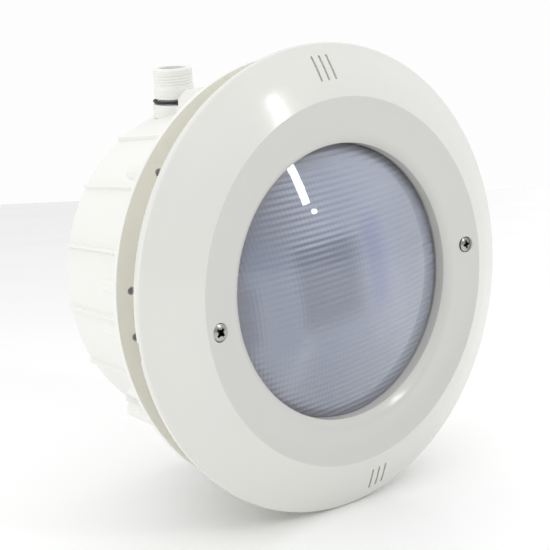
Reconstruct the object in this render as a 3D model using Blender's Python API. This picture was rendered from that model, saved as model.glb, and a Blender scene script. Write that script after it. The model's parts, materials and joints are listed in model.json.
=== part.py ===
"""Underwater pool light: a lamp unit held by two screws in a niche that is built into a pool wall.

The light's axis is Y. The origin is the centre of the niche's flat rear face, the front faces -Y, +Z is up.
Outlines are lists of (radius, depth) in millimetres, where depth is the distance in front of the rear face.
"""

import math

import bmesh
import bpy
from mathutils import Matrix

MM = 0.001
GAP = 0.3                    # clearance between pieces that touch

# Face ring
RING_RADIUS = 137.5
RING_DEPTH = 135.0           # depth of the ring's widest point
CREASE_RADIUS = 106.6        # the sharp edge between the ring's outer and inner bands
CREASE_RISE = 16.6
LIP_RADIUS = 81.0            # the lens opening
LIP_RISE = 8.4
SLOT_SPACING = 5.3
SLOT_WIDTH = 1.5
SLOT_INNER = 116.0
SLOT_OUTER = 130.5
SEAT_SPAN = 36.0             # degrees that each seat pad covers

# Niche
FLANGE_RADIUS = 134.2
FLANGE_BACK = 105.4
FLANGE_FRONT = 109.2
DRUM_RADIUS = 112.0
DRUM_WALL = 3.0
REAR_RADIUS = 110.6          # the flat rear face
REAR_CHAMFER = 1.4
NECK_DEPTH = 131.0
RIB_COUNT = 18
SADDLE_RIB = 5               # this rib gives way to the conduit saddle
RIB_TIP = 114.5
RIB_WIDTH = 2.0
FLANGE_HOLE_RADIUS = 2.1
FLANGE_HOLE_CIRCLE = 124.6
FLANGE_HOLE_ANGLES = [18.5 + 30.0 * k for k in range(12)] + [0.0, 180.0]
BOSS_RADIUS = 5.2
BOSS_CIRCLE = 123.6
BOSS_BACK = 76.0
LONG_BOSS_ANGLE = 208.0
LONG_BOSS_BACK = 56.0
BOSS_HOLE_BACK = 88.0

# Face screws, their inserts and lugs
SCREW_CIRCLE = 97.3
SCREW_RADIUS = 2.75
SCREW_TIP = 100.4
HEAD_RADIUS = 5.5
LUG_RADIUS = 7.5
LUG_BACK = 86.0
LUG_FRONT = 112.0
INSERT_RADIUS = 4.4
INSERT_BACK = 93.0
CLIP_RADIUS = 4.6
CLIP_BACK = 112.5
CLIP_FRONT = 113.9

# Lamp and rear cover
LAMP_RADIUS = 89.0
LENS_RISE = 15.5
LENS_EDGE_RADIUS = 80.0
LENS_EDGE_RISE = 2.6
REFLECTOR_SLOPE = 85.3       # parabola: radius squared grows by this much for each millimetre forward
REFLECTOR_VERTEX = -91.7
COVER_RADIUS = 104.0
COVER_SCREW_CIRCLE = 98.0
COVER_SCREW_ANGLES = [22.5 + 45.0 * k for k in range(8)]
POST_SPACING = 18.0
FILAMENT_RISE = -70.4

# Cable gland, upright on the rear cover
GLAND_RISE = -92.0
GLAND_RADIUS = 10.5

# Conduit spigot, at the rear of the niche. Its axis leans forwards, and heights are measured along it.
SPIGOT_X = -19.0
SPIGOT_DEPTH = -2.05         # where its axis would meet the plane z = 0
SPIGOT_LEAN = 9.0
SPIGOT_LOW = 104.0
SPIGOT_TOP = 139.5
SPIGOT_BORE = 9.0
SPIGOT_STUB = 11.0
THREAD_RADIUS = 13.2
CONDUIT_BOSS_RADIUS = 14.7
CONDUIT_BOSS_TOP = 117.0
ORING_HEIGHT = 118.6
ORING_SECTION = 1.3

LARGE = 60                   # facets round the large pieces
MEDIUM = 36
SMALL = 12

# Local axes with Z along the light's axis, forwards, and Y up
AXIS = Matrix(((1, 0, 0, 0), (0, 0, -1, 0), (0, 1, 0, 0), (0, 0, 0, 1)))


def forward(rise):
    """Depth of a point that lies this far in front of the ring's widest point."""
    return RING_DEPTH + rise


def on_circle(radius, degrees, depth=0.0):
    """Frame with Z forwards, at a radius and an angle (counter-clockwise from +X, seen from the front)."""
    turn = math.radians(degrees)
    place = Matrix.Translation((radius * math.cos(turn) * MM, -depth * MM, radius * math.sin(turn) * MM))
    return place @ AXIS @ Matrix.Rotation(turn, 4, "Z")


def upright(x, depth, lean=0.0):
    """Frame with Z up, or leaning forwards by some degrees, at a place beside the light's axis."""
    return Matrix.Translation((x * MM, -depth * MM, 0)) @ Matrix.Rotation(math.radians(lean), 4, "X")


def material(name, colour, roughness, metallic=0.0, transmission=0.0):
    made = bpy.data.materials.new(name)
    made.use_nodes = True
    shader = made.node_tree.nodes["Principled BSDF"]
    shader.inputs["Base Color"].default_value = (*colour, 1.0)
    shader.inputs["Roughness"].default_value = roughness
    shader.inputs["Metallic"].default_value = metallic
    shader.inputs["Transmission Weight"].default_value = transmission
    return made


def new_object(name, bm, frame):
    mesh = bpy.data.meshes.new(name)
    bmesh.ops.recalc_face_normals(bm, faces=bm.faces)
    bm.to_mesh(mesh)
    bm.free()
    piece = bpy.data.objects.new(name, mesh)
    piece.matrix_world = frame
    bpy.context.collection.objects.link(piece)
    return piece


def add_turned(bm, outline, segments, place=Matrix.Identity(4)):
    """Turn a closed outline of (radius, height) about Z. Points on the axis close an end."""
    rings = []
    for radius, height in outline:
        count = segments if radius > 0 else 1
        ring = []
        for k in range(count):
            turn = 2 * math.pi * k / segments
            point = place @ Matrix.Translation(
                (radius * math.cos(turn) * MM, radius * math.sin(turn) * MM, height * MM))
            ring.append(bm.verts.new(point.to_translation()))
        rings.append(ring)
    for first, second in zip(rings, rings[1:] + rings[:1]):
        if len(first) == 1 and len(second) == 1:
            continue
        for k in range(segments):
            after = (k + 1) % segments
            corners = [first[k % len(first)], first[after % len(first)],
                       second[after % len(second)], second[k % len(second)]]
            bm.faces.new(list(dict.fromkeys(corners)))


def turned(name, outline, segments=LARGE, frame=AXIS):
    bm = bmesh.new()
    add_turned(bm, outline, segments)
    return new_object(name, bm, frame)


def repeated(names, first, frames, surface):
    """Finish a piece as the first of several that share its mesh, and place the others."""
    first.name = names[0]
    finish(first, surface)
    for name, frame in zip(names[1:], frames[1:]):
        copy = first.copy()
        copy.name = name
        copy.matrix_world = frame
        bpy.context.collection.objects.link(copy)


def turned_set(name, outline, segments, frames):
    """The same turned tool at several places, as separate bodies of one guide object."""
    bm = bmesh.new()
    for frame in frames:
        add_turned(bm, outline, segments, frame)
    return new_object(name, bm, Matrix.Identity(4))


def rod(radius, low, high):
    """Outline of a plain cylinder."""
    return [(0, low), (radius, low), (radius, high), (0, high)]


def tube(outer, inner, low, high):
    """Outline of a plain pipe."""
    return [(inner, low), (outer, low), (outer, high), (inner, high)]


def add_prism(bm, outline, low, high, place=Matrix.Identity(4)):
    """Extrude a closed outline of (x, y) along Z from low to high."""
    ends = []
    for height in (low, high):
        ends.append([bm.verts.new(place @ Matrix.Translation((x * MM, y * MM, height * MM)).to_translation())
                     for x, y in outline])
    bottom, top = ends
    bm.faces.new(bottom[::-1])
    bm.faces.new(top)
    for k in range(len(outline)):
        after = (k + 1) % len(outline)
        bm.faces.new([bottom[k], bottom[after], top[after], top[k]])


def box_outline(x0, x1, y0, y1):
    return [(x0, y0), (x1, y0), (x1, y1), (x0, y1)]


def prism_set(name, parts):
    """Prisms given as (outline, low, high, frame), in one object."""
    bm = bmesh.new()
    for outline, low, high, frame in parts:
        add_prism(bm, outline, low, high, frame)
    return new_object(name, bm, Matrix.Identity(4))


def combine(piece, tool, operation):
    """Join a tool to a piece or cut it away. The tool stays in the file as a hidden guide."""
    tool.hide_render = True
    tool.display_type = "WIRE"
    step = piece.modifiers.new(tool.name, "BOOLEAN")
    step.operation = operation
    step.solver = "EXACT"
    step.object = tool
    return piece


def finish(piece, surface):
    piece.data.materials.append(surface)
    piece.data.shade_smooth()
    piece.data.set_sharp_from_angle(angle=math.radians(35))
    return piece


# Niche ------------------------------------------------------------------------------------------------------
# One moulding, in three nodes a hair apart: the housing, the flange and the saddle under the conduit spigot.

def niche_outline():
    inside = DRUM_RADIUS - DRUM_WALL
    return [(0, 0), (REAR_RADIUS, 0), (DRUM_RADIUS, REAR_CHAMFER), (DRUM_RADIUS, NECK_DEPTH),
            (inside, NECK_DEPTH), (inside, DRUM_WALL + 2), (inside - 2, DRUM_WALL), (0, DRUM_WALL)]


def rib_tools():
    """Axial fins between the rear edge and the flange. Their flat outline lies in a plane through the axis."""
    front = FLANGE_BACK - GAP
    outline = [(110.5, REAR_CHAMFER), (113.0, REAR_CHAMFER), (RIB_TIP, 2.9), (RIB_TIP, front), (110.5, front)]
    sideways = Matrix.Rotation(math.radians(90), 4, "X")
    return prism_set("niche_ribs", [
        (outline, -RIB_WIDTH / 2, RIB_WIDTH / 2, on_circle(0, 360.0 * k / RIB_COUNT) @ sideways)
        for k in range(RIB_COUNT) if k != SADDLE_RIB])


def conduit_frame():
    return upright(SPIGOT_X, SPIGOT_DEPTH, SPIGOT_LEAN)


def lug_tools():
    web = box_outline(0, DRUM_RADIUS - 1.0 - SCREW_CIRCLE, -5, 5)
    places = [on_circle(SCREW_CIRCLE, degrees) for degrees in (0, 180)]
    posts = turned_set("lug_posts", rod(LUG_RADIUS, LUG_BACK, LUG_FRONT), SMALL + 4, places)
    webs = prism_set("lug_webs", [(web, LUG_BACK + 1, LUG_FRONT - 1, place) for place in places])
    return posts, webs


def build_housing(surface):
    housing = turned("niche_housing", niche_outline())
    posts, webs = lug_tools()
    for tool in (rib_tools(), webs, posts):
        combine(housing, tool, "UNION")
    for tool in (
            turned("conduit_hole", rod(SPIGOT_STUB + GAP, SPIGOT_LOW, 125.0), 2 * SMALL, conduit_frame()),
            turned_set("insert_pockets", rod(INSERT_RADIUS + GAP, INSERT_BACK - GAP, LUG_FRONT + 2), SMALL,
                       [on_circle(SCREW_CIRCLE, degrees) for degrees in (0, 180)])):
        combine(housing, tool, "DIFFERENCE")
    return finish(housing, surface)


def build_flange(surface):
    flange = turned("niche_flange", tube(FLANGE_RADIUS, DRUM_RADIUS + GAP, FLANGE_BACK, FLANGE_FRONT))
    bosses = turned_set("flange_bosses", rod(BOSS_RADIUS, BOSS_BACK, FLANGE_BACK + 1), SMALL - 2,
                        [on_circle(BOSS_CIRCLE, degrees) for degrees in FLANGE_HOLE_ANGLES])
    holes = turned_set("flange_holes", rod(FLANGE_HOLE_RADIUS, BOSS_HOLE_BACK, FLANGE_FRONT + 2), SMALL - 4,
                       [on_circle(FLANGE_HOLE_CIRCLE, degrees) for degrees in FLANGE_HOLE_ANGLES])
    long_boss = turned("flange_long_boss", rod(BOSS_RADIUS, LONG_BOSS_BACK, FLANGE_BACK + 1), SMALL - 2,
                       on_circle(BOSS_CIRCLE, LONG_BOSS_ANGLE))
    combine(flange, bosses, "UNION")
    combine(flange, long_boss, "UNION")
    combine(flange, holes, "DIFFERENCE")
    return finish(flange, surface)


def build_saddle(surface):
    """Boss round the spigot's foot, with a gusset forwards to the flange. The gusset's outline is (depth, height)."""
    front = FLANGE_BACK - GAP
    gusset = [(20, 100), (20, 112.8), (31.6, 112.8), (31.6, 120), (34.5, 122.5), (front, 122.5), (front, 100)]
    # local X is depth (world -Y), local Y is up and local Z is world +X
    frame = Matrix(((0, 0, 1, 0), (-1, 0, 0, 0), (0, 1, 0, 0), (0, 0, 0, 1)))
    conduit = conduit_frame()
    saddle = turned("conduit_saddle", rod(CONDUIT_BOSS_RADIUS, 98.0, CONDUIT_BOSS_TOP), 2 * SMALL, conduit)
    combine(saddle, prism_set("conduit_gusset", [(gusset, SPIGOT_X - 8, SPIGOT_X + 8, frame)]), "UNION")
    drum = [(radius + GAP if radius else 0, depth) for radius, depth in
            [(0, -5), (REAR_RADIUS, -5), (REAR_RADIUS, 0), (DRUM_RADIUS, REAR_CHAMFER), (DRUM_RADIUS, FLANGE_BACK),
             (0, FLANGE_BACK)]]
    combine(saddle, turned("drum_space", drum), "DIFFERENCE")
    combine(saddle, turned("saddle_bore", rod(SPIGOT_STUB + GAP, 90.0, 125.0), 2 * SMALL, conduit), "DIFFERENCE")
    return finish(saddle, surface)


def build_conduit(plastic, rubber):
    place = conduit_frame()
    collar_low = ORING_HEIGHT + ORING_SECTION + GAP
    outline = [(SPIGOT_BORE, SPIGOT_LOW), (SPIGOT_STUB, SPIGOT_LOW), (SPIGOT_STUB, collar_low), (13.5, collar_low),
               (13.5, 127.0), (THREAD_RADIUS, 127.6), (THREAD_RADIUS, 137.2), (11.6, SPIGOT_TOP),
               (SPIGOT_BORE, SPIGOT_TOP)]
    finish(turned("conduit_spigot", outline, 2 * SMALL, place), plastic)
    section = [(13.3 + ORING_SECTION * math.cos(2 * math.pi * k / 6),
                ORING_HEIGHT + ORING_SECTION * math.sin(2 * math.pi * k / 6)) for k in range(6)]
    finish(turned("conduit_oring", section, 2 * SMALL, place), rubber)


def build_inserts(surface):
    outline = tube(INSERT_RADIUS, SCREW_RADIUS + GAP, INSERT_BACK, LUG_FRONT - GAP)
    for side, degrees in (("left", 180), ("right", 0)):
        finish(turned(f"niche_insert_{side}", outline, SMALL, on_circle(SCREW_CIRCLE, degrees)), surface)


# Face ring --------------------------------------------------------------------------------------------------

def ring_outline():
    """Front surface from the skirt over the crease to the lens opening, then back along the underside."""
    front = [(136.9, -1.5), (RING_RADIUS, 0), (137.2, 2.0), (136.2, 3.3), (134.3, 4.5), (130, 6.4), (116, 12.5),
             (CREASE_RADIUS, CREASE_RISE), (97.3, 13.9), (90, 12.5), (85.5, 11.5), (82.6, 10.2),
             (LIP_RADIUS, LIP_RISE)]
    under = [(LIP_RADIUS, 6.0), (85.0, 6.0), (89.5, 8.8), (96.0, 10.6), (CREASE_RADIUS - 0.6, 13.2),
             (115.0, 9.5), (129.0, 3.3), (133.0, 1.2), (134.2, -1.5)]
    return [(radius, forward(rise)) for radius, rise in front + under]


def seat_tool():
    """Pads under the ring that rest against the niche's neck, with open quarters above, below and beside."""
    steps = 4
    low, high = NECK_DEPTH + GAP, forward(11.0)
    parts = []
    for middle in (45, 135, 225, 315):
        angles = [math.radians(middle + SEAT_SPAN * (k / steps - 0.5)) for k in range(steps + 1)]
        outline = [(111.5 * math.cos(a), 111.5 * math.sin(a)) for a in angles]
        outline += [(107.5 * math.cos(a), 107.5 * math.sin(a)) for a in reversed(angles)]
        parts.append((outline, low, high, AXIS))
    return prism_set("ring_seats", parts)


def build_ring(surface):
    ring = turned("face_ring", ring_outline())
    screw_places = [on_circle(SCREW_CIRCLE, degrees) for degrees in (0, 180)]
    cover_places = [on_circle(COVER_SCREW_CIRCLE, degrees) for degrees in COVER_SCREW_ANGLES]
    boss_low = forward(-3.7)
    countersink = [(0, boss_low - 1), (SCREW_RADIUS + 0.45, boss_low - 1), (SCREW_RADIUS + 0.45, forward(9.4)),
                   (HEAD_RADIUS + 0.4, forward(12.2)), (HEAD_RADIUS + 0.4, forward(20)), (0, forward(20))]
    slots = [(box_outline(x - SLOT_WIDTH / 2, x + SLOT_WIDTH / 2, *sorted((side * SLOT_INNER, side * SLOT_OUTER))),
              forward(-6), forward(20), AXIS)
             for side in (-1, 1) for x in (-SLOT_SPACING, 0, SLOT_SPACING)]
    notch = box_outline(-RING_RADIUS - 2, -RING_RADIUS + 6, -5, 5)
    for tool in (
            seat_tool(),
            turned_set("ring_screw_tubes", rod(HEAD_RADIUS, boss_low, forward(11.8)), SMALL, screw_places),
            turned_set("ring_cover_bosses", rod(4.2, boss_low, forward(11.8)), SMALL - 2, cover_places)):
        combine(ring, tool, "UNION")
    for tool in (
            turned_set("ring_countersinks", countersink, SMALL + 4, screw_places),
            turned_set("ring_cover_holes", rod(1.85, boss_low - 1, forward(5)), SMALL - 4, cover_places),
            prism_set("ring_slots", slots),
            prism_set("ring_notch", [(notch, forward(-3), forward(0.6), AXIS)])):
        combine(ring, tool, "DIFFERENCE")
    return finish(ring, surface)


# Lamp -------------------------------------------------------------------------------------------------------

def lens_outline():
    """Shallow dome with a rounded shoulder and a flat rim, open behind."""
    crown = LENS_RISE - LENS_EDGE_RISE
    curve = (LENS_EDGE_RADIUS ** 2 + crown ** 2) / (2 * crown)

    def dome(radius, thickness):
        return LENS_RISE - thickness - curve + math.sqrt(curve ** 2 - radius ** 2)

    outer = [(radius, dome(radius, 0)) for radius in (0, 20, 40, 56, 70, LENS_EDGE_RADIUS)]
    inner = [(radius, dome(radius, 4.0)) for radius in (LENS_EDGE_RADIUS, 60, 40, 20, 0)]
    rim = [(84.0, 1.6), (88.2, 1.0), (LAMP_RADIUS, 0.2), (LAMP_RADIUS, -1.5), (83.0, -1.5)]
    return [(radius, forward(rise)) for radius, rise in outer + rim + inner]


def reflector_outline():
    def bowl(radius, inset):
        return REFLECTOR_VERTEX + inset + radius ** 2 / REFLECTOR_SLOPE

    outer = [(radius, bowl(radius, 0)) for radius in (22, 36, 52, 68, 80, 85)]
    inner = [(radius, bowl(radius, 4.6)) for radius in (79, 66, 50, 34, 20)]
    rim = [(86.4, -4.4), (LAMP_RADIUS, -4.4), (LAMP_RADIUS, -1.8), (83.0, -1.8)]
    return [(radius, forward(rise)) for radius, rise in
            [(0, bowl(22, 0))] + outer + rim + inner + [(0, bowl(20, 4.6))]]


def build_lamp(glass, mirror, wire, tungsten, brass, steel):
    finish(turned("lens_glass", lens_outline(), MEDIUM), glass)
    reflector = turned("reflector", reflector_outline(), MEDIUM)
    sides = [Matrix.Translation((side * POST_SPACING / 2 * MM, 0, 0)) @ AXIS for side in (-1, 1)]
    back = REFLECTOR_VERTEX + 22 ** 2 / REFLECTOR_SLOPE
    combine(reflector, turned_set("post_holes", rod(1.5, forward(back - 2), forward(back + 8)), 8, sides),
            "DIFFERENCE")
    finish(reflector, mirror)
    repeated(["filament_post_left", "filament_post_right"],
             turned("post", rod(1.1, forward(back), forward(FILAMENT_RISE + 12)), 8, sides[0]), sides, wire)
    across = Matrix.Translation((0, -forward(FILAMENT_RISE) * MM, 0)) @ Matrix.Rotation(math.radians(90), 4, "Y")
    reach = POST_SPACING / 2 - 1.1 - GAP
    finish(turned("filament", rod(1.4, -reach, reach), 8, across), tungsten)
    shield = FILAMENT_RISE + 12 + GAP
    cup = [(0, shield), (14, shield), (16, shield - 5), (17, shield - 5), (15, shield + 1), (0, shield + 1)]
    finish(turned("filament_shield", [(radius, forward(rise)) for radius, rise in cup], 2 * SMALL), wire)
    build_terminals(sides, back, brass, steel)


def build_terminals(sides, back, brass, steel):
    low, high = forward(back - 9), forward(back - GAP)
    screw = [(0, low - 3), (3.6, low - 3), (3.6, low - GAP), (2.0, low - GAP), (2.0, low + 5), (0, low + 5)]
    for side, place in zip(("left", "right"), sides):
        terminal = prism_set(f"lamp_terminal_{side}", [(box_outline(-4, 4, -5, 5), low, high, place)])
        hole = turned(f"terminal_hole_{side}", rod(2.3, low - 1, low + 6), 8, place)
        finish(combine(terminal, hole, "DIFFERENCE"), brass)
    repeated(["terminal_screw_left", "terminal_screw_right"], turned("screw", screw, 8, sides[0]), sides, steel)


def build_gasket(rubber):
    outline = [(81.4, 5.7), (91.3, 5.7), (91.3, -7.7), (87.0, -7.7), (87.0, -4.8), (89.4, -4.8), (89.4, 1.3),
               (84.6, 2.0), (81.4, 2.8)]
    finish(turned("lamp_gasket", [(radius, forward(rise)) for radius, rise in outline], MEDIUM), rubber)


# Rear cover -------------------------------------------------------------------------------------------------

def cover_outline():
    outer = [(0, -110), (49, -110), (52, -107), (62, -84), (76, -50), (86, -22), (90.5, -12), (93.6, -8),
             (COVER_RADIUS, -8), (COVER_RADIUS, -4)]
    inner = [(91.6, -4), (91.6, -8.0), (86.4, -8.0), (86, -12), (83, -22), (73, -49), (59, -83), (49.5, -104.5),
             (47, -107), (0, -107)]
    return [(radius, forward(rise)) for radius, rise in outer + inner]


def build_cover(plastic, steel):
    cover = turned("rear_cover", cover_outline(), MEDIUM)
    gland_place = upright(0, forward(GLAND_RISE))
    cover_places = [on_circle(COVER_SCREW_CIRCLE, degrees) for degrees in COVER_SCREW_ANGLES]
    screw_places = [on_circle(SCREW_CIRCLE, degrees) for degrees in (0, 180)]
    low, high = forward(-10), forward(0)
    combine(cover, turned("gland_boss", rod(GLAND_RADIUS + 1.5, 50.5, 66.0), 2 * SMALL, gland_place), "UNION")
    for tool in (
            turned("cover_bowl", [(0, forward(-106.9)), (47, forward(-106.9)), (49.3, forward(-104.5)),
                                  (58.8, forward(-83)), (72.8, forward(-49)), (0, forward(-49))],
                   MEDIUM),
            turned("gland_hole", rod(7.6, 40.0, 70.0), SMALL + 4, gland_place),
            turned_set("cover_screw_holes", rod(2.1, low, high), 8, cover_places),
            turned_set("face_screw_holes", rod(SCREW_RADIUS + 0.6, low, high), SMALL, screw_places)):
        combine(cover, tool, "DIFFERENCE")
    finish(cover, plastic)
    screw = [(0, -10.9), (2.9, -10.9), (3.6, -10.2), (3.6, -8.3), (1.5, -8.3), (1.5, 3.0), (0, 4.0)]
    names = [f"cover_screw_{k + 1}" for k in range(len(cover_places))]
    first = turned("screw", [(radius, forward(rise)) for radius, rise in screw], 8, cover_places[0])
    repeated(names, first, cover_places, steel)


def build_gland(plastic, rubber):
    place = upright(0, forward(GLAND_RISE))
    hexagon = [(GLAND_RADIUS * math.cos(math.radians(60 * k)), GLAND_RADIUS * math.sin(math.radians(60 * k)))
               for k in range(6)]
    body = turned("gland_body", tube(7.3, 5.0, 56.0, 80.0), SMALL + 4, place)
    flange = prism_set("gland_hexagon", [(hexagon, 66.3, 71.3, place)])
    combine(flange, turned("gland_core", rod(6.0, 60.0, 75.0), SMALL + 4, place), "DIFFERENCE")
    combine(body, flange, "UNION")
    finish(body, plastic)
    nut = [(7.6, 71.6), (GLAND_RADIUS, 71.6), (GLAND_RADIUS, 82.0), (8.0, 86.0), (5.4, 86.0), (5.4, 84.2),
           (7.6, 84.2)]
    finish(turned("gland_nut", nut, SMALL + 4, place), plastic)
    finish(turned("gland_seal", tube(7.2, 4.6, 80.3, 83.9), SMALL + 4, place), rubber)


# Face screws ------------------------------------------------------------------------------------------------

def build_face_screws(steel, nylon):
    shank = [(0, SCREW_TIP), (2.0, SCREW_TIP), (SCREW_RADIUS, SCREW_TIP + 1.2), (SCREW_RADIUS, forward(9.8)),
             (HEAD_RADIUS, forward(12.6)), (HEAD_RADIUS, forward(13.2)), (3.9, forward(14.5)), (0, forward(14.9))]
    clip = tube(CLIP_RADIUS, SCREW_RADIUS + GAP, CLIP_BACK, CLIP_FRONT)
    for side, degrees in (("left", 180), ("right", 0)):
        place = on_circle(SCREW_CIRCLE, degrees)
        screw = turned(f"face_screw_{side}", shank, SMALL + 4, place)
        for arm, outline in enumerate((box_outline(-2.7, 2.7, -0.6, 0.6), box_outline(-0.6, 0.6, -2.7, 2.7))):
            tool = prism_set(f"recess_{side}_{arm}", [(outline, forward(12.2), forward(16), place)])
            combine(screw, tool, "DIFFERENCE")
        finish(screw, steel)
        finish(turned(f"screw_clip_{side}", clip, SMALL, place), nylon)


def main():
    for leftover in list(bpy.data.objects):
        bpy.data.objects.remove(leftover, do_unlink=True)
    ring_plastic = material("ring_abs", (0.80, 0.81, 0.77), 0.28)
    niche_plastic = material("niche_abs", (0.84, 0.84, 0.81), 0.42)
    rubber = material("black_rubber", (0.015, 0.015, 0.016), 0.7)
    brass = material("brass", (0.72, 0.52, 0.22), 0.35, 1.0)
    steel = material("stainless_steel", (0.56, 0.56, 0.55), 0.3, 1.0)
    nylon = material("nylon", (0.75, 0.74, 0.68), 0.5)
    glass = material("lens_glass", (0.62, 0.67, 0.74), 0.12, 0.0, 0.5)
    mirror = material("reflector_glass", (0.72, 0.74, 0.77), 0.15, 1.0)
    wire = material("nickel_wire", (0.45, 0.44, 0.42), 0.35, 1.0)
    tungsten = material("tungsten", (0.25, 0.25, 0.26), 0.45, 1.0)
    build_housing(niche_plastic)
    build_flange(niche_plastic)
    build_saddle(niche_plastic)
    build_conduit(niche_plastic, rubber)
    build_inserts(brass)
    build_ring(ring_plastic)
    build_lamp(glass, mirror, wire, tungsten, brass, steel)
    build_gasket(rubber)
    build_cover(niche_plastic, steel)
    build_gland(niche_plastic, rubber)
    build_face_screws(steel, nylon)


main()
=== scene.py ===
"""Looks of the underwater pool light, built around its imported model.

Sizes are in millimetres and become metres where a mesh is made. Depth is measured forwards (towards -Y) from the
niche's flat rear face, and rise is measured forwards from the trim ring's widest plane. An outline is a list of
(radius, depth) or (radius, depth, fillet) corners.
"""

import json
import math

import bmesh
import bpy
import numpy as np
from mathutils import Matrix, Quaternion, Vector


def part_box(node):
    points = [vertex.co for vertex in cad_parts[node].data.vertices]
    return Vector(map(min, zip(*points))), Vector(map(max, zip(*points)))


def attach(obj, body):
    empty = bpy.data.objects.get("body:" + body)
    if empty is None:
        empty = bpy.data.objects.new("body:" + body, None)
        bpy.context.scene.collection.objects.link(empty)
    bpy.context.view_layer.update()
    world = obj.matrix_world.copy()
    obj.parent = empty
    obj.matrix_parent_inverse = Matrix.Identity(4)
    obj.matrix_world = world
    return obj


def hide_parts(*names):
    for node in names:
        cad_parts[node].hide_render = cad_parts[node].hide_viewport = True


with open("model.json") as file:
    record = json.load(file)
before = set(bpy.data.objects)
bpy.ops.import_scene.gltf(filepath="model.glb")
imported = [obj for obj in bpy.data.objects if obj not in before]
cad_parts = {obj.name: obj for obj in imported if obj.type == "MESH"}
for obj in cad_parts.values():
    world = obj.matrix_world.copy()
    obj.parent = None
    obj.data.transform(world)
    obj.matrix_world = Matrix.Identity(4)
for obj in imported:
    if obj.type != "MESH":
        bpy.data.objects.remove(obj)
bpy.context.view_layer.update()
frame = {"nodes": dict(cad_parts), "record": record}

MM = 0.001
AXIS = Matrix(((1, 0, 0, 0), (0, 0, -1, 0), (0, 1, 0, 0), (0, 0, 0, 1)))


# Places and sizes read from the frame ------------------------------------------------------------------------

def extent(node):
    """Lowest and highest corner of a node in millimetres, as (x, depth, z) with depth forwards."""
    low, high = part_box(node)
    return (Vector((low.x, -high.y, low.z)) / MM, Vector((high.x, -low.y, high.z)) / MM)


def middle(node):
    low, high = extent(node)
    return (low + high) / 2


RING_HIGH = extent("face_ring")[1]
RING_RADIUS = RING_HIGH.x
CREASE_DEPTH = RING_HIGH.y
NECK_DEPTH = extent("niche_housing")[1].y
FLANGE_RADIUS = extent("niche_flange")[1].x
FLANGE_FRONT = extent("niche_flange")[1].y
FLANGE_BACK = FLANGE_FRONT - 3.8
LONG_BOSS_BACK = extent("niche_flange")[0].y
SCREW_CIRCLE = middle("face_screw_right").x
HEAD_RADIUS = (extent("face_screw_right")[1].x - extent("face_screw_right")[0].x) / 2
HEAD_SEEN = 4.75                         # radius of the head where it stands clear of the ring
HEAD_FRONT = extent("face_screw_right")[1].y
SCREW_TIP = extent("face_screw_right")[0].y
LENS_FRONT = extent("lens_glass")[1].y
COVER_RADIUS = extent("rear_cover")[1].x
GLAND = middle("gland_nut")

RISE_ZERO = CREASE_DEPTH - 16.6          # depth of the ring's widest plane
DRUM_RADIUS = 112.0
DRUM_WALL = 3.0
CREASE_RADIUS = 106.6
LIP_RADIUS = 81.0
SLOT_INNER = 116.0                       # ends of the slots at the ring's top and bottom, from its axis
SLOT_OUTER = 130.5
SLOT_PITCH = 5.3
RIB_COUNT = 18
RIB_HEIGHT = 2.5
HOLE_ANGLES = [18.5 + 30.0 * k for k in range(12)] + [0.0, 180.0]
HOLE_CIRCLE = 124.6
BOSS_CIRCLE = 123.6
BOSS_BACK = 76.0
LONG_BOSS_ANGLE = 208.0
SPIGOT_X = middle("conduit_spigot").x    # the spigot leans forwards, heights are measured along its axis
SPIGOT_DEPTH = -2.05
SPIGOT_LEAN = 9.0
SPIGOT_LOW = 104.0
SPIGOT_TOP = 139.5
CONDUIT_BOSS_RADIUS = 14.7
CONDUIT_BOSS_LOW = 108.5
CONDUIT_BOSS_TOP = 117.0
ORING_HEIGHT = 118.6
ORING_SECTION = 1.3
SCREW_SIDES = (("left", 180.0), ("right", 0.0))
COVER_SCREW_CIRCLE = 98.0
COVER_SCREW_ANGLES = [22.5 + 45.0 * k for k in range(8)]
LENS_EDGE_RADIUS = 80.0
LENS_EDGE_DEPTH = RISE_ZERO + 2.6
FLUTE_PITCH = 3.5                        # level flutes of the lens
PRISM_PITCH = 2.5                        # its fainter upright flutes
FLOOR_TILT = 8.6                         # the light stands turned by this much about its own axis

CAMERA_AZIMUTH, CAMERA_ELEVATION, CAMERA_ROLL = -40.733, 14.2155, -8.626
CAMERA_DISTANCE = 0.50983                # metres from the middle of the ring's widest plane
CAMERA_AIM = (-0.0293, -0.1108, 0.0093)  # the point in the middle of the picture, in metres

FINE = 288                               # facets round the large turned pieces
SMALL = 48


def forward(rise):
    return RISE_ZERO + rise


# Mesh tools --------------------------------------------------------------------------------------------------

def on_circle(radius, degrees):
    """Frame with Z forwards, at a radius and an angle (counter-clockwise from +X, seen from the front)."""
    turn = math.radians(degrees)
    place = Matrix.Translation((radius * math.cos(turn) * MM, 0, radius * math.sin(turn) * MM))
    return place @ AXIS @ Matrix.Rotation(turn, 4, "Z")


def upright(x, depth, lean=0.0):
    """Frame with Z up, or leaning forwards by some degrees, at a place beside the light's axis."""
    return Matrix.Translation((x * MM, -depth * MM, 0)) @ Matrix.Rotation(math.radians(lean), 4, "X")


def conduit_frame():
    return upright(SPIGOT_X, SPIGOT_DEPTH, SPIGOT_LEAN)


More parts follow.
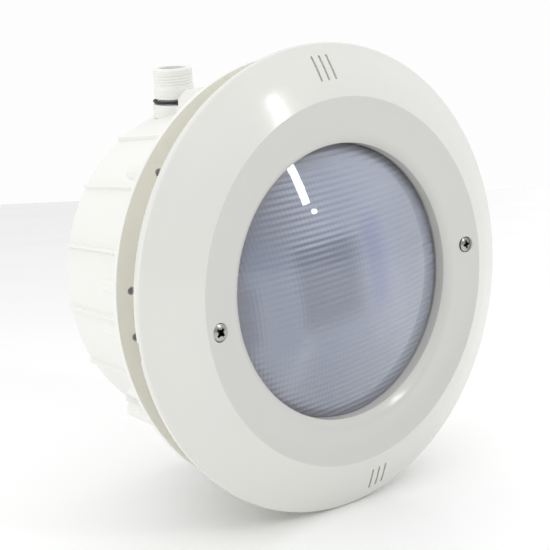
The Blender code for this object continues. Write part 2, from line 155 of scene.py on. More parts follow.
def rounded(corners, steps=4):
    """Close an outline, and turn each corner that has a fillet radius into an arc."""
    points = []
    count = len(corners)
    for k, corner in enumerate(corners):
        here = np.array(corner[:2], float)
        fillet = corner[2] if len(corner) > 2 else 0.0
        if not fillet:
            points.append(tuple(here))
            continue
        back = np.array(corners[k - 1][:2], float) - here
        ahead = np.array(corners[(k + 1) % count][:2], float) - here
        lengths = np.linalg.norm(back), np.linalg.norm(ahead)
        back, ahead = back / lengths[0], ahead / lengths[1]
        half = math.acos(max(-1.0, min(1.0, float(back @ ahead)))) / 2
        reach = min(fillet / math.tan(half), 0.49 * min(lengths))
        radius = reach * math.tan(half)
        centre = here + (back + ahead) / np.linalg.norm(back + ahead) * radius / math.sin(half)
        start, end = here + back * reach - centre, here + ahead * reach - centre
        sweep = math.pi - 2 * half
        for step in range(steps + 1):
            part = step / steps
            blend = (start * math.sin((1 - part) * sweep) + end * math.sin(part * sweep)) / math.sin(sweep)
            points.append(tuple(centre + blend))
    return points


def bowed(start, end, bow, steps=12):
    """Points of a shallow arc between two corners, both left out. A positive bow bulges to the left of the way."""
    start, end = np.array(start, float), np.array(end, float)
    along = end - start
    side = np.array((-along[1], along[0])) / np.linalg.norm(along)
    return [tuple(start + along * part + side * bow * 4 * part * (1 - part))
            for part in (step / steps for step in range(1, steps))]


def rod(radius, low, high, fillet=0.0):
    return rounded([(0, low), (radius, low, fillet), (radius, high, fillet), (0, high)])


def tube(outer, inner, low, high, fillet=0.2):
    return rounded([(inner, low, fillet), (outer, low, fillet), (outer, high, fillet), (inner, high, fillet)])


def spread(segments):
    return np.arange(segments) * 2 * math.pi / segments


def new_piece(name, bm):
    bmesh.ops.recalc_face_normals(bm, faces=bm.faces)
    mesh = bpy.data.meshes.new(name)
    bm.to_mesh(mesh)
    bm.free()
    piece = bpy.data.objects.new(name, mesh)
    bpy.context.scene.collection.objects.link(piece)
    return piece


def grid_piece(name, points):
    """A closed surface through a grid of points that closes on itself both ways. Rows may lie on the axis."""
    rows, columns = points.shape[:2]
    index = np.arange(rows * columns).reshape(rows, columns)
    faces = []
    for row in range(rows):
        first, second = index[row], index[(row + 1) % rows]
        faces += np.stack((first, np.roll(first, -1), np.roll(second, -1), second), 1).tolist()
    mesh = bpy.data.meshes.new(name)
    mesh.from_pydata(points.reshape(-1, 3).tolist(), [], faces)
    bm = bmesh.new()
    bm.from_mesh(mesh)
    bpy.data.meshes.remove(mesh)
    bmesh.ops.remove_doubles(bm, verts=bm.verts, dist=1e-7)
    return new_piece(name, bm)


def lathe(name, outline, segments=FINE, place=AXIS, angles=None, shape=None):
    """Turn a closed outline about the frame's Z. shape(radius, height, angle) may return changed radii."""
    angles = spread(segments) if angles is None else np.asarray(angles)
    profile = np.array(outline, float)
    radius = np.repeat(profile[:, :1], len(angles), 1)
    height = np.repeat(profile[:, 1:2], len(angles), 1)
    turn = np.repeat(angles[None, :], len(profile), 0)
    if shape:
        radius = shape(radius, height, turn)
    local = np.stack((radius * np.cos(turn), radius * np.sin(turn), height), 2) * MM
    world = np.array(place)
    return grid_piece(name, local @ world[:3, :3].T + world[:3, 3])


def prism(name, outline, low, high, place=AXIS, taper=1.0, bevel=0.0):
    """Extrude a closed outline of (x, y) along the frame's Z. The low end may be scaled by a taper."""
    bm = bmesh.new()
    ends = []
    for height, scale in ((low, taper), (high, 1.0)):
        ends.append([bm.verts.new(place @ Vector((x * scale * MM, y * scale * MM, height * MM)))
                     for x, y in outline])
    bottom, top = ends
    bm.faces.new(bottom[::-1])
    bm.faces.new(top)
    for k in range(len(outline)):
        after = (k + 1) % len(outline)
        bm.faces.new([bottom[k], bottom[after], top[after], top[k]])
    if bevel:
        bmesh.ops.recalc_face_normals(bm, faces=bm.faces)
        bmesh.ops.bevel(bm, geom=list(bm.edges), offset=bevel * MM, segments=3, profile=0.5, affect="EDGES",
                        clamp_overlap=True)
    return new_piece(name, bm)


def slot_outline(x, y0, y1, width, steps=6):
    """Upright slot with round ends."""
    half = width / 2
    top = [(x + half * math.cos(math.pi * k / steps), y1 - half + half * math.sin(math.pi * k / steps))
           for k in range(steps + 1)]
    bottom = [(x - half * math.cos(math.pi * k / steps), y0 + half - half * math.sin(math.pi * k / steps))
              for k in range(steps + 1)]
    return top + bottom


def joined(name, pieces):
    """Several separate bodies in one object."""
    bm = bmesh.new()
    for piece in pieces:
        bm.from_mesh(piece.data)
        bpy.data.objects.remove(piece)
    return new_piece(name, bm)


def settle(piece):
    """Apply a piece's modifiers."""
    bpy.context.view_layer.update()
    evaluated = piece.evaluated_get(bpy.context.evaluated_depsgraph_get())
    mesh = bpy.data.meshes.new_from_object(evaluated)
    piece.modifiers.clear()
    piece.data = mesh


def carve(piece, steps):
    """Join tools to a piece (UNION) or cut them away (DIFFERENCE), in order, and delete the tools."""
    for operation, tool in steps:
        change = piece.modifiers.new(tool.name, "BOOLEAN")
        change.operation = operation
        change.solver = "EXACT"
        change.object = tool
    settle(piece)
    for _, tool in steps:
        bpy.data.objects.remove(tool)


def dress(piece, body, surface, replaced=(), sharp=32.0):
    """Give a piece its finish and its body, and hide the nodes that it stands for."""
    piece.data.materials.clear()
    piece.data.materials.append(surface)
    piece.data.shade_smooth()
    piece.data.set_sharp_from_angle(angle=math.radians(sharp))
    weigh = piece.modifiers.new("weighted_normals", "WEIGHTED_NORMAL")
    weigh.keep_sharp = True
    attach(piece, body)
    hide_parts(*replaced)


# Material tools ----------------------------------------------------------------------------------------------

class Wire:
    """A number in a node tree. Arithmetic on it adds Math nodes."""

    def __init__(self, tree, socket):
        self.tree = tree
        self.socket = socket

    def math(self, operation, *others):
        node = self.tree.nodes.new("ShaderNodeMath")
        node.operation = operation
        for place, value in enumerate((self,) + others):
            if isinstance(value, Wire):
                self.tree.links.new(value.socket, node.inputs[place])
            else:
                node.inputs[place].default_value = value
        return Wire(self.tree, node.outputs[0])

    def __add__(self, other):
        return self.math("ADD", other)

    def __sub__(self, other):
        return self.math("SUBTRACT", other)

    def __mul__(self, other):
        return self.math("MULTIPLY", other)

    def sine(self):
        return self.math("SINE")

    def length(self, other):
        return (self * self + other * other).math("SQRT")

    def step(self, low, high):
        """Smooth step from 0 at low to 1 at high. It falls when low is above high."""
        node = self.tree.nodes.new("ShaderNodeMapRange")
        node.interpolation_type = "SMOOTHSTEP"
        self.tree.links.new(self.socket, node.inputs["Value"])
        node.inputs["From Min"].default_value = min(low, high)
        node.inputs["From Max"].default_value = max(low, high)
        node.inputs["To Min"].default_value = 0.0 if low < high else 1.0
        node.inputs["To Max"].default_value = 1.0 if low < high else 0.0
        return Wire(self.tree, node.outputs["Result"])


class Finish:
    """A Principled material with its node tree."""

    def __init__(self, name, colour, roughness, **sockets):
        self.material = bpy.data.materials.new(name)
        self.material.use_nodes = True
        self.tree = self.material.node_tree
        self.shader = self.tree.nodes["Principled BSDF"]
        self.set("Base Color", (*colour, 1.0))
        self.set("Roughness", roughness)
        for socket, value in sockets.items():
            self.set(socket.replace("_", " "), value)

    def set(self, socket, value):
        if isinstance(value, Wire):
            self.tree.links.new(value.socket, self.shader.inputs[socket])
        else:
            self.shader.inputs[socket].default_value = value

    def place(self):
        """Object coordinates as three numbers in millimetres."""
        coordinates = self.tree.nodes.new("ShaderNodeTexCoord")
        split = self.tree.nodes.new("ShaderNodeSeparateXYZ")
        self.tree.links.new(coordinates.outputs["Object"], split.inputs[0])
        return [Wire(self.tree, split.outputs[k]) * 1000.0 for k in range(3)]

    def noise(self, scale, detail=3.0, stretch=(1, 1, 1), distortion=0.0):
        coordinates = self.tree.nodes.new("ShaderNodeTexCoord")
        mapping = self.tree.nodes.new("ShaderNodeMapping")
        mapping.inputs["Scale"].default_value = stretch
        texture = self.tree.nodes.new("ShaderNodeTexNoise")
        texture.inputs["Scale"].default_value = scale
        texture.inputs["Detail"].default_value = detail
        texture.inputs["Distortion"].default_value = distortion
        self.tree.links.new(coordinates.outputs["Object"], mapping.inputs["Vector"])
        self.tree.links.new(mapping.outputs[0], texture.inputs["Vector"])
        return Wire(self.tree, texture.outputs["Fac"])

    def mix(self, factor, first, second):
        """Colour between two colours, each a tuple or an earlier mix."""
        node = self.tree.nodes.new("ShaderNodeMix")
        node.data_type = "RGBA"
        self.tree.links.new(factor.socket, node.inputs[0])
        for place, value in ((6, first), (7, second)):
            if isinstance(value, Wire):
                self.tree.links.new(value.socket, node.inputs[place])
            else:
                node.inputs[place].default_value = (*value, 1.0)
        return Wire(self.tree, node.outputs[2])

    def bump(self, height, distance):
        """Raise the surface by height times distance (in millimetres)."""
        node = self.tree.nodes.new("ShaderNodeBump")
        node.inputs["Strength"].default_value = 1.0
        node.inputs["Distance"].default_value = distance * MM
        self.tree.links.new(height.socket, node.inputs["Height"])
        self.set("Normal", Wire(self.tree, node.outputs[0]))


# Materials ---------------------------------------------------------------------------------------------------

def moulded(name, colour, shaded, roughness, front=None, inner=None):
    """Glossy moulded plastic: slow drift of colour, fine orange peel and a few dull scuffs.

    The front colour, if there is one, is painted light on everything in front of the niche's flange: a warm tint
    standing in for light bounced between the ring and the flange.
    The inner colour, if there is one, is painted shade on everything inside the ring's crease.
    """
    finish = Finish(name, colour, roughness, IOR=1.53)
    drift = finish.noise(9.0, 2.0).step(0.35, 0.65)
    base = finish.mix(drift, colour, shaded)
    if front:
        # painted light: a warm tint in front of the flange for light bounced between the ring and the flange
        base = finish.mix(finish.place()[1].step(0.6 - FLANGE_FRONT, 0.1 - FLANGE_FRONT), base, front)
    if inner:
        # painted shade: everything inside the crease is darker
        x, _, z = finish.place()
        base = finish.mix(x.length(z).step(CREASE_RADIUS + 0.2, CREASE_RADIUS - 0.4), base, inner)
    finish.set("Base Color", base)
    scuffs = finish.noise(60.0, 6.0, distortion=1.5).step(0.60, 0.72)
    peel = finish.noise(700.0, 2.0)
    finish.set("Roughness", scuffs * 0.06 + peel * 0.03 + (roughness - 0.015))
    finish.bump(peel + scuffs * 0.4, 0.02)
    return finish.material


def rubber():
    finish = Finish("black_rubber", (0.012, 0.012, 0.013), 0.55, IOR=1.5)
    grain = finish.noise(900.0, 4.0)
    bloom = finish.noise(40.0, 4.0).step(0.45, 0.75)
    finish.set("Base Color", finish.mix(bloom, (0.010, 0.010, 0.011), (0.022, 0.022, 0.023)))
    finish.set("Roughness", grain * 0.2 + 0.45)
    finish.bump(grain, 0.03)
    return finish.material


def metal(name, colour, worn, roughness, painted_shade_behind=None):
    """Metal with fine tool marks and slightly stained patches.

    If a depth is given, the two millimetres behind it are painted nearly black: painted shade where a screw head
    sits down in its recess.
    """
    finish = Finish(name, colour, roughness, Metallic=1.0)
    marks = finish.noise(300.0, 5.0)
    stain = finish.noise(70.0, 4.0).step(0.45, 0.7)
    base = finish.mix(stain, colour, worn)
    if painted_shade_behind:
        # painted shade: a near-black band just behind the given depth
        y = finish.place()[1] + painted_shade_behind
        base = finish.mix(y.step(-0.1, 0.3) * y.step(2.2, 1.9), base, (0.03, 0.03, 0.03))
    finish.set("Base Color", base)
    finish.set("Roughness", marks * 0.16 + stain * 0.08 + (roughness - 0.08))
    finish.bump(marks, 0.01)
    return finish.material


def nylon():
    finish = Finish("nylon", (0.75, 0.74, 0.68), 0.45, IOR=1.53)
    grain = finish.noise(500.0, 3.0)
    finish.set("Base Color", finish.mix(finish.noise(50.0, 3.0), (0.72, 0.71, 0.65), (0.79, 0.78, 0.72)))
    finish.set("Roughness", grain * 0.2 + 0.36)
    finish.bump(grain, 0.02)
    return finish.material


def clear_glass():
    """Pressed glass of the dome. The faintest ripple of its surface breaks up reflections."""
    finish = Finish("dome_glass", (0.97, 0.98, 1.0), 0.015, IOR=1.5)
    finish.set("Transmission Weight", 1.0)
    finish.bump(finish.noise(25.0, 2.0), 0.02)
    return finish.material


def fluted_glass():
    """Inner face of the lens, painted with reflection and shade that stand in for the lamp's reflector and the
    ring's lip behind and round the glass: a dark reflection in the middle, darker patches at the top left, at the
    right and on the left, a violet band, a darker bottom and a dark edge. Its flutes warp these painted patches.
    """
    finish = Finish("fluted_glass", (0.36, 0.39, 0.47), 0.3, IOR=1.5)
    x, _, z = finish.place()
    bend_z = (z * (2 * math.pi / FLUTE_PITCH)).sine()
    bend_x = ((x + z * z * 0.0012) * (2 * math.pi / PRISM_PITCH)).sine()
    warped_z = z + bend_z * 3.2
    warped_x = x + bend_x * 1.6
    soft = finish.noise(14.0, 2.0, (1, 1, 0.5))
    colour = finish.mix(soft.step(0.3, 0.7), (0.30, 0.335, 0.415), (0.365, 0.395, 0.475))
    # painted reflection: the dark patch in the middle, where the reflector mirrors dark surroundings
    middle_patch = (warped_x.step(-44, -34) * warped_x.step(16, -8) * warped_z.step(-26, -10)
                    * warped_z.step(34, 25))
    # painted reflection: darker at the top left
    top_left = warped_x.step(-5, -50) * warped_z.step(15, 55)
    colour = finish.mix(top_left * 0.8, colour, (0.25, 0.265, 0.32))
    # painted reflection: darker towards the right side
    colour = finish.mix(warped_x.step(35, 60) * 0.5, colour, (0.24, 0.26, 0.32))
    colour = finish.mix(middle_patch * 0.95, colour, (0.21, 0.235, 0.295))
    # painted reflection: a violet band right of the middle
    violet = x.step(6, 15) * x.step(32, 20) * warped_z.step(-30, -5) * warped_z.step(44, 28)
    colour = finish.mix(violet * 0.85, colour, (0.29, 0.31, 0.46))
    # painted reflection: a dark band near the left edge
    left_dark = warped_x.step(-60, -72) * warped_x.step(-84, -77) * z.step(-28, -12) * z.step(26, 8)
    colour = finish.mix(left_dark * 0.55, colour, (0.17, 0.175, 0.225))
    # painted reflection: darker towards the bottom
    low = warped_z.step(-30, -74)
    colour = finish.mix(low * 0.3, colour, (0.27, 0.28, 0.33))
    # painted shade and reflection: the lens darkens towards its edge under the ring's lip
    reach = warped_x.length(warped_z)
    colour = finish.mix(reach.step(71, 81), colour, (0.23, 0.225, 0.26))
    finish.set("Base Color", colour)
    finish.set("Roughness", soft * 0.1 + 0.25)
    finish.bump(bend_x * 0.5, 0.03)
    return finish.material


def aluminised():
    finish = Finish("reflector_mirror", (0.75, 0.77, 0.79), 0.1, Metallic=1.0)
    haze = finish.noise(30.0, 4.0)
    finish.set("Base Color", finish.mix(haze, (0.70, 0.72, 0.75), (0.80, 0.82, 0.83)))
    finish.set("Roughness", haze * 0.12 + 0.05)
    finish.bump(finish.noise(160.0, 2.0), 0.02)
    return finish.material


# its inner colour is painted shade inside the ring's crease
RING_PLASTIC = moulded("ring_plastic", (0.75, 0.755, 0.715), (0.73, 0.735, 0.70), 0.15,
                       inner=(0.63, 0.635, 0.605))
# its front colour is painted warm light bounced between the ring and the flange
NICHE_PLASTIC = moulded("niche_plastic", (0.84, 0.84, 0.805), (0.82, 0.82, 0.79), 0.38,
                        front=(0.93, 0.92, 0.83))
RUBBER = rubber()
STEEL = metal("stainless_steel", (0.44, 0.44, 0.43), (0.34, 0.34, 0.33), 0.26)
# the band behind the head's crown is painted shade where the head sits down in its recess
HEAD_STEEL = metal("screw_head_steel", (0.44, 0.44, 0.43), (0.32, 0.32, 0.31), 0.26, painted_shade_behind=forward(13.7))
BRASS = metal("brass", (0.72, 0.52, 0.22), (0.55, 0.40, 0.18), 0.32)
NICKEL = metal("nickel_wire", (0.47, 0.46, 0.44), (0.38, 0.37, 0.35), 0.33)
TUNGSTEN = metal("tungsten", (0.27, 0.27, 0.28), (0.20, 0.20, 0.22), 0.42)
NYLON = nylon()
GLASS = clear_glass()
FLUTED = fluted_glass()
MIRROR = aluminised()


# Niche -------------------------------------------------------------------------------------------------------

def niche_angles():
    """Even steps between the ribs and close ones across each rib."""
    across = [math.radians(s / DRUM_RADIUS * 180 / math.pi) for s in (0, 0.5, 0.8, 1.0, 1.2, 1.5, 2.0)]
    rib_turn = 2 * math.pi / RIB_COUNT
    between = 10
    marks = sorted({0.0, *across, *(-a for a in across)}
                   | {across[-1] + (rib_turn - 2 * across[-1]) * k / between for k in range(1, between)})
    return [k * rib_turn + mark for k in range(RIB_COUNT) for mark in marks]


def rib_shape(radius, height, turn):
    """Lift the drum's outer wall where a rib runs along it."""
    rib_turn = 2 * math.pi / RIB_COUNT
    away = np.abs((turn + rib_turn / 2) % rib_turn - rib_turn / 2) * DRUM_RADIUS
    ridge = np.clip((1.55 - away) / 0.75, 0, 1)
    ridge = ridge * ridge * (3 - 2 * ridge)
    along = np.clip((height - 0.2) / 1.6, 0, 1) * np.clip((FLANGE_BACK + 0.5 - height) / 0.5, 0, 1)
    outside = (radius > DRUM_RADIUS - 1.0) & (radius < DRUM_RADIUS + 0.6) & (height < FLANGE_BACK + 0.2)
    return radius + np.where(outside, ridge * along * RIB_HEIGHT, 0)


def niche_outline():
    inside = DRUM_RADIUS - DRUM_WALL
    wall = [(DRUM_RADIUS, depth) for depth in np.linspace(2.0, FLANGE_BACK, 28)[:-1]]
    return rounded([
        (0, 0), (70, 0), (71.5, 0.5), (74.5, 0.5), (76, 0), (DRUM_RADIUS, 0, 1.4), *wall,
        (DRUM_RADIUS, FLANGE_BACK, 1.0), (FLANGE_RADIUS, FLANGE_BACK, 0.5), (FLANGE_RADIUS, FLANGE_FRONT, 0.5),
        (DRUM_RADIUS, FLANGE_FRONT, 0.8), (DRUM_RADIUS, NECK_DEPTH, 0.6),
        (inside, NECK_DEPTH, 0.6), (inside, 60.0), (inside, DRUM_WALL, 2.0), (60, DRUM_WALL),
        (0, DRUM_WALL)])


def build_niche():
    niche = lathe("niche_shell", niche_outline(), angles=niche_angles(), shape=rib_shape)
    conduit = conduit_frame()
    boss = rounded([(0, BOSS_BACK), (3.6, BOSS_BACK, 1.6), (5.2, FLANGE_BACK - 5, 3.0), (5.2, FLANGE_BACK + 1),
                    (0, FLANGE_BACK + 1)])
    bosses = joined("flange_bosses", [lathe("boss", boss, 32, on_circle(BOSS_CIRCLE, degrees))
                                      for degrees in HOLE_ANGLES]
                    + [lathe("long_boss", rod(5.2, LONG_BOSS_BACK, FLANGE_BACK + 1, 1.6), 32,
                             on_circle(BOSS_CIRCLE, LONG_BOSS_ANGLE))])
    hole = rounded([(0, FLANGE_FRONT - 5), (2.1, FLANGE_FRONT - 5), (2.1, FLANGE_FRONT - 0.5, 0.3),
                    (2.9, FLANGE_FRONT + 0.3), (2.9, FLANGE_FRONT + 3), (0, FLANGE_FRONT + 3)])
    holes = joined("flange_holes", [lathe("hole", hole, 24, on_circle(HOLE_CIRCLE, degrees))
                                    for degrees in HOLE_ANGLES])
    saddle = lathe("conduit_boss", rounded([(0, CONDUIT_BOSS_LOW), (CONDUIT_BOSS_RADIUS, CONDUIT_BOSS_LOW),
                                            (CONDUIT_BOSS_RADIUS, CONDUIT_BOSS_TOP, 1.0),
                                            (0, CONDUIT_BOSS_TOP)]), 72, conduit)
    conduit_hole = lathe("conduit_hole", rod(11.3, SPIGOT_LOW, 125), 64, conduit)
    # the gusset's outline is (depth, height), extruded sideways
    gusset_frame = Matrix(((0, 0, 1, 0), (-1, 0, 0, 0), (0, 1, 0, 0), (0, 0, 0, 1)))
    gusset_front = FLANGE_BACK + 1
    gusset = prism("gusset", rounded([
        (20, 104), (20, 112.8, 0.5), (31.9, 112.8), (33.0, 117.5, 3.0), (44.0, 122.5, 5.0),
        (gusset_front, 122.5, 0.5), (gusset_front, 104)]), SPIGOT_X - 8, SPIGOT_X + 8, gusset_frame, bevel=0.7)
    lugs = joined("lugs", [lathe("lug", rod(7.5, 86, 112, 0.6), 40, on_circle(SCREW_CIRCLE, degrees))
                           for _, degrees in SCREW_SIDES])
    web = [(0, -5), (13.7, -5), (13.7, 5), (0, 5)]
    webs = joined("webs", [prism("web", web, 87, 111, on_circle(SCREW_CIRCLE, degrees))
                           for _, degrees in SCREW_SIDES])
    pockets = joined("pockets", [lathe("pocket", rod(4.7, 92.7, 115), 32, on_circle(SCREW_CIRCLE, degrees))
                                 for _, degrees in SCREW_SIDES])
    carve(niche, [("UNION", bosses), ("UNION", gusset), ("UNION", saddle), ("UNION", webs), ("UNION", lugs),
                  ("DIFFERENCE", holes), ("DIFFERENCE", conduit_hole), ("DIFFERENCE", pockets)])
    dress(niche, "niche", NICHE_PLASTIC, ("niche_housing", "niche_flange", "conduit_saddle"))


def build_spigot():
    """Plain collar, then a pipe thread with a tapered run-out below a rounded lead."""
    pitch, thread_depth = 1.814, 0.6
    thread_low, thread_high = 127.6, 136.4
    collar_low = ORING_HEIGHT + ORING_SECTION + 0.3
    threads = [(12.7, height) for height in np.arange(thread_low, thread_high + 0.1, pitch / 9)]
    outline = rounded([
        (9.0, SPIGOT_LOW, 0.3), (11.0, SPIGOT_LOW, 0.3), (11.0, collar_low), (13.0, collar_low, 0.4),
        (13.0, 121.4), (12.75, 121.7), (13.0, 122.0), (13.0, 127.0, 0.4), (12.7, 127.4), *threads,
        (12.7, 136.1), (12.6, SPIGOT_TOP, 3.4), (9.0, SPIGOT_TOP, 0.9)], steps=6)

    def cut_thread(radius, height, turn):
        phase = (height / pitch - turn / (2 * math.pi)) % 1.0
        groove = np.clip(1.0 - np.abs(phase - 0.5) / 0.36, 0, 1)
        inside = np.clip((height - thread_low) / 0.8, 0, 1) * np.clip((thread_high - height) / 1.6, 0, 1)
        return radius - np.where(radius > 12.0, groove * inside * thread_depth, 0)

    spigot = lathe("threaded_spigot", outline, 120, conduit_frame(), shape=cut_thread)
    dress(spigot, "niche", NICHE_PLASTIC, ("conduit_spigot",), sharp=50)
    section = [(13.2 + ORING_SECTION * math.cos(a), ORING_HEIGHT + 0.65 * ORING_SECTION * math.sin(a))
               for a in spread(20)]
    dress(lathe("spigot_oring", section, 96, conduit_frame()), "niche", RUBBER,
          ("conduit_oring",))


def build_inserts():
    """Brass inserts with a knurled outside, pressed into the niche's lugs."""
    low, high = extent("niche_insert_right")[0].y, extent("niche_insert_right")[1].y
    outline = rounded([(3.05, low, 0.2), (4.0, low, 0.3), (4.4, low + 1), (4.4, high - 1), (4.1, high, 0.2),
                       (3.3, high, 0.2), (3.05, high - 0.6)])

    def knurl(radius, height, turn):
        return radius - np.where(radius > 4.2, 0.12 * (1 + np.cos(turn * 24)), 0)

    for side, degrees in SCREW_SIDES:
        insert = lathe(f"brass_insert_{side}", outline, 96, on_circle(SCREW_CIRCLE, degrees), shape=knurl)
        dress(insert, "niche", BRASS, (f"niche_insert_{side}",))


# Trim ring ---------------------------------------------------------------------------------------------------

def ring_outline():
    crease = (CREASE_RADIUS, 16.6)
    band_foot, lip_head, lip_edge = (132.4, 5.5), (88.0, 12.2), (LIP_RADIUS, 8.4)
    front = [(137.1, -1.5, 0.4), (RING_RADIUS, 0.4), (RING_RADIUS, 3.3, 4.5), *bowed(band_foot, crease, -0.7, 16),
             (*crease, 0.7), *bowed(crease, lip_head, 0.6), lip_head, *bowed(lip_head, lip_edge, -0.7, 8),
             (*lip_edge, 0.7)]
    under = [(LIP_RADIUS, -1.0), (LIP_RADIUS + 0.3, -1.0), (LIP_RADIUS + 0.3, 6.0), (85.0, 6.0),
             (89.5, 8.8, 1.0), (96.0, 10.6), (CREASE_RADIUS - 0.6, 13.2, 1.0), (115.0, 9.5), (129.0, 3.3),
             (133.0, 1.2, 0.8), (134.2, -1.5, 0.3)]
    return rounded([(corner[0], forward(corner[1]), *corner[2:]) for corner in front + under])


def build_ring():
    ring = lathe("trim_ring", ring_outline(), 240)
    boss_low = forward(-3.7)
    seats = []
    for centre in (45, 135, 225, 315):
        arc = [math.radians(centre + 36.0 * (k / 12 - 0.5)) for k in range(13)]
        outline = [(111.5 * math.cos(a), 111.5 * math.sin(a)) for a in arc]
        outline += [(107.5 * math.cos(a), 107.5 * math.sin(a)) for a in reversed(arc)]
        seats.append(prism("seat", outline, NECK_DEPTH + 0.3, forward(11.5)))
    tubes = joined("screw_tubes", [lathe("tube", rod(HEAD_RADIUS, boss_low, forward(11.8), 0.3), 40,
                                         on_circle(SCREW_CIRCLE, degrees)) for _, degrees in SCREW_SIDES])
    bosses = joined("cover_bosses", [lathe("boss", rod(4.2, boss_low, forward(11.8), 0.3), 32,
                                           on_circle(COVER_SCREW_CIRCLE, degrees))
                                     for degrees in COVER_SCREW_ANGLES])
    seat = rounded([(0, boss_low - 1), (3.2, boss_low - 1), (3.2, forward(9.4), 0.3), (5.1, forward(12.2), 0.2),
                    (5.1, forward(20)), (0, forward(20))])
    seat_holes = joined("countersinks", [lathe("seat_hole", seat, SMALL, on_circle(SCREW_CIRCLE, degrees))
                                         for _, degrees in SCREW_SIDES])
    screw_holes = joined("screw_holes", [lathe("hole", rod(1.85, boss_low - 1, forward(5)), 20,
                                               on_circle(COVER_SCREW_CIRCLE, degrees))
                                         for degrees in COVER_SCREW_ANGLES])
    slots = joined("slots", [prism("slot", slot_outline(x, *sorted((side * SLOT_INNER, side * SLOT_OUTER)), 1.5),
                                   forward(-6), forward(20))
                             for side in (-1, 1) for x in (-SLOT_PITCH, 0, SLOT_PITCH)])
    notch = prism("notch", [(-RING_RADIUS - 2, -5), (-RING_RADIUS + 6, -5), (-RING_RADIUS + 6, 5),
                            (-RING_RADIUS - 2, 5)], forward(-3), forward(0.6))
    carve(ring, [("UNION", joined("seats", seats)), ("UNION", tubes), ("UNION", bosses),
                 ("DIFFERENCE", seat_holes), ("DIFFERENCE", screw_holes), ("DIFFERENCE", slots),
                 ("DIFFERENCE", notch)])
    dress(ring, "lamp_unit", RING_PLASTIC, ("face_ring",))


# Lens and lamp -----------------------------------------------------------------------------------------------

def dome(radius, inset=0.0):
    """Depth of the lens's dome at a radius."""
    crown = LENS_FRONT - LENS_EDGE_DEPTH
    curve = (LENS_EDGE_RADIUS ** 2 + crown ** 2) / (2 * crown)
    return LENS_FRONT - inset - curve + np.sqrt(curve ** 2 - np.square(radius))


def build_lens():
    reach = LIP_RADIUS - 0.2
    outer = [(r, float(dome(r))) for r in np.linspace(0, reach, 40)]
    inner = [(r, float(dome(r, 1.2))) for r in np.linspace(reach, 0, 36)]
    lens = lathe("lens_dome", outer + inner, 192)
    lens.visible_shadow = False
    dress(lens, "lamp_unit", GLASS, ("lens_glass",))
    build_flutes()


def build_flutes():
    """Relief of rounded flutes just behind the clear dome: level ones all over, upright ones across them."""
    reach, gap, back = 80.7, 1.6, 1.4
    rows = np.linspace(-reach + 0.05, reach - 0.05, 283)
    half = np.sqrt(reach ** 2 - rows ** 2)
    x = half[:, None] * np.linspace(-1, 1, 181)[None, :]
    z = np.repeat(rows[:, None], x.shape[1], 1)
    level = 0.5 - 0.5 * np.cos(2 * math.pi * z / FLUTE_PITCH)
    upright_flutes = 0.5 - 0.5 * np.cos(2 * math.pi * (x + z * z * 0.0012) / PRISM_PITCH)
    weight = np.clip((10 - x) / 40, 0, 1)
    depth = dome(np.hypot(x, z), gap) - 0.42 * level - 0.08 * upright_flutes * weight
    front = np.stack((x, -depth, z), 2) * MM
    bm = bmesh.new()
    verts = [[bm.verts.new(point) for point in row] for row in front]
    for row, above in zip(verts, verts[1:]):
        for k in range(len(row) - 1):
            bm.faces.new((row[k], row[k + 1], above[k + 1], above[k]))
    edge = (verts[0] + [row[-1] for row in verts[1:-1]] + verts[-1][::-1]
            + [row[0] for row in reversed(verts[1:-1])])
    behind = [bm.verts.new((v.co.x, v.co.y + back * MM, v.co.z)) for v in edge]
    for k in range(len(edge)):
        after = (k + 1) % len(edge)
        bm.faces.new((edge[k], behind[k], behind[after], edge[after]))
    bm.faces.new(behind)
    relief = new_piece("lens_flutes", bm)
    dress(relief, "lamp_unit", FLUTED, sharp=60)


def build_gasket():
    outline = rounded([(radius, forward(rise), fillet) for radius, rise, fillet in (
        (85.4, 5.7, 0.6), (91.3, 5.7, 0.6), (91.3, -7.7, 0.6), (87.0, -7.7, 0.4), (87.0, -4.8, 0.2),
        (89.4, -4.8, 0.2), (89.4, 1.3, 0.3), (85.4, 1.9, 0.2))])
    dress(lathe("lens_gasket", outline, 192), "lamp_unit", RUBBER, ("lamp_gasket",))


def build_filament():
    """Coiled wire between the posts."""
    low, high = extent("filament")
    depth, reach = (low.y + high.y) / 2, high.x
    coil, wire_radius, turns, steps = 1.15, 0.22, 13, 20
    points = []
    for k in range(turns * steps + 1):
        turn = 2 * math.pi * k / steps
        points.append(Vector((-reach + 2 * reach * k / (turns * steps), -depth + coil * math.cos(turn),
                              coil * math.sin(turn))) * MM)
    bm = bmesh.new()
    rings = []
    for k, point in enumerate(points):
        ahead = points[min(k + 1, len(points) - 1)] - points[max(k - 1, 0)]
        turned = ahead.to_track_quat("Z", "X")
        rings.append([bm.verts.new(point + turned @ Vector((math.cos(a), math.sin(a), 0)) * wire_radius * MM)
                      for a in spread(8)])
    for first, second in zip(rings, rings[1:]):
        for k in range(8):
            after = (k + 1) % 8
            bm.faces.new((first[k], first[after], second[after], second[k]))
    bm.faces.new(rings[0][::-1])
    bm.faces.new(rings[-1])
    dress(new_piece("filament_coil", bm), "lamp_unit", TUNGSTEN, ("filament",), sharp=60)


# Rear cover --------------------------------------------------------------------------------------------------

def cross_recess(name, place, span, width, low, high):
    """Tapered cross that cuts a driver recess."""
    a, b = width / 2, span / 2
    outline = [(b, -a), (b, a), (a, a), (a, b), (-a, b), (-a, a), (-b, a), (-b, -a), (-a, -a), (-a, -b),
               (a, -b), (a, -a)]
    return prism(name, outline, low, high, place, taper=0.8)


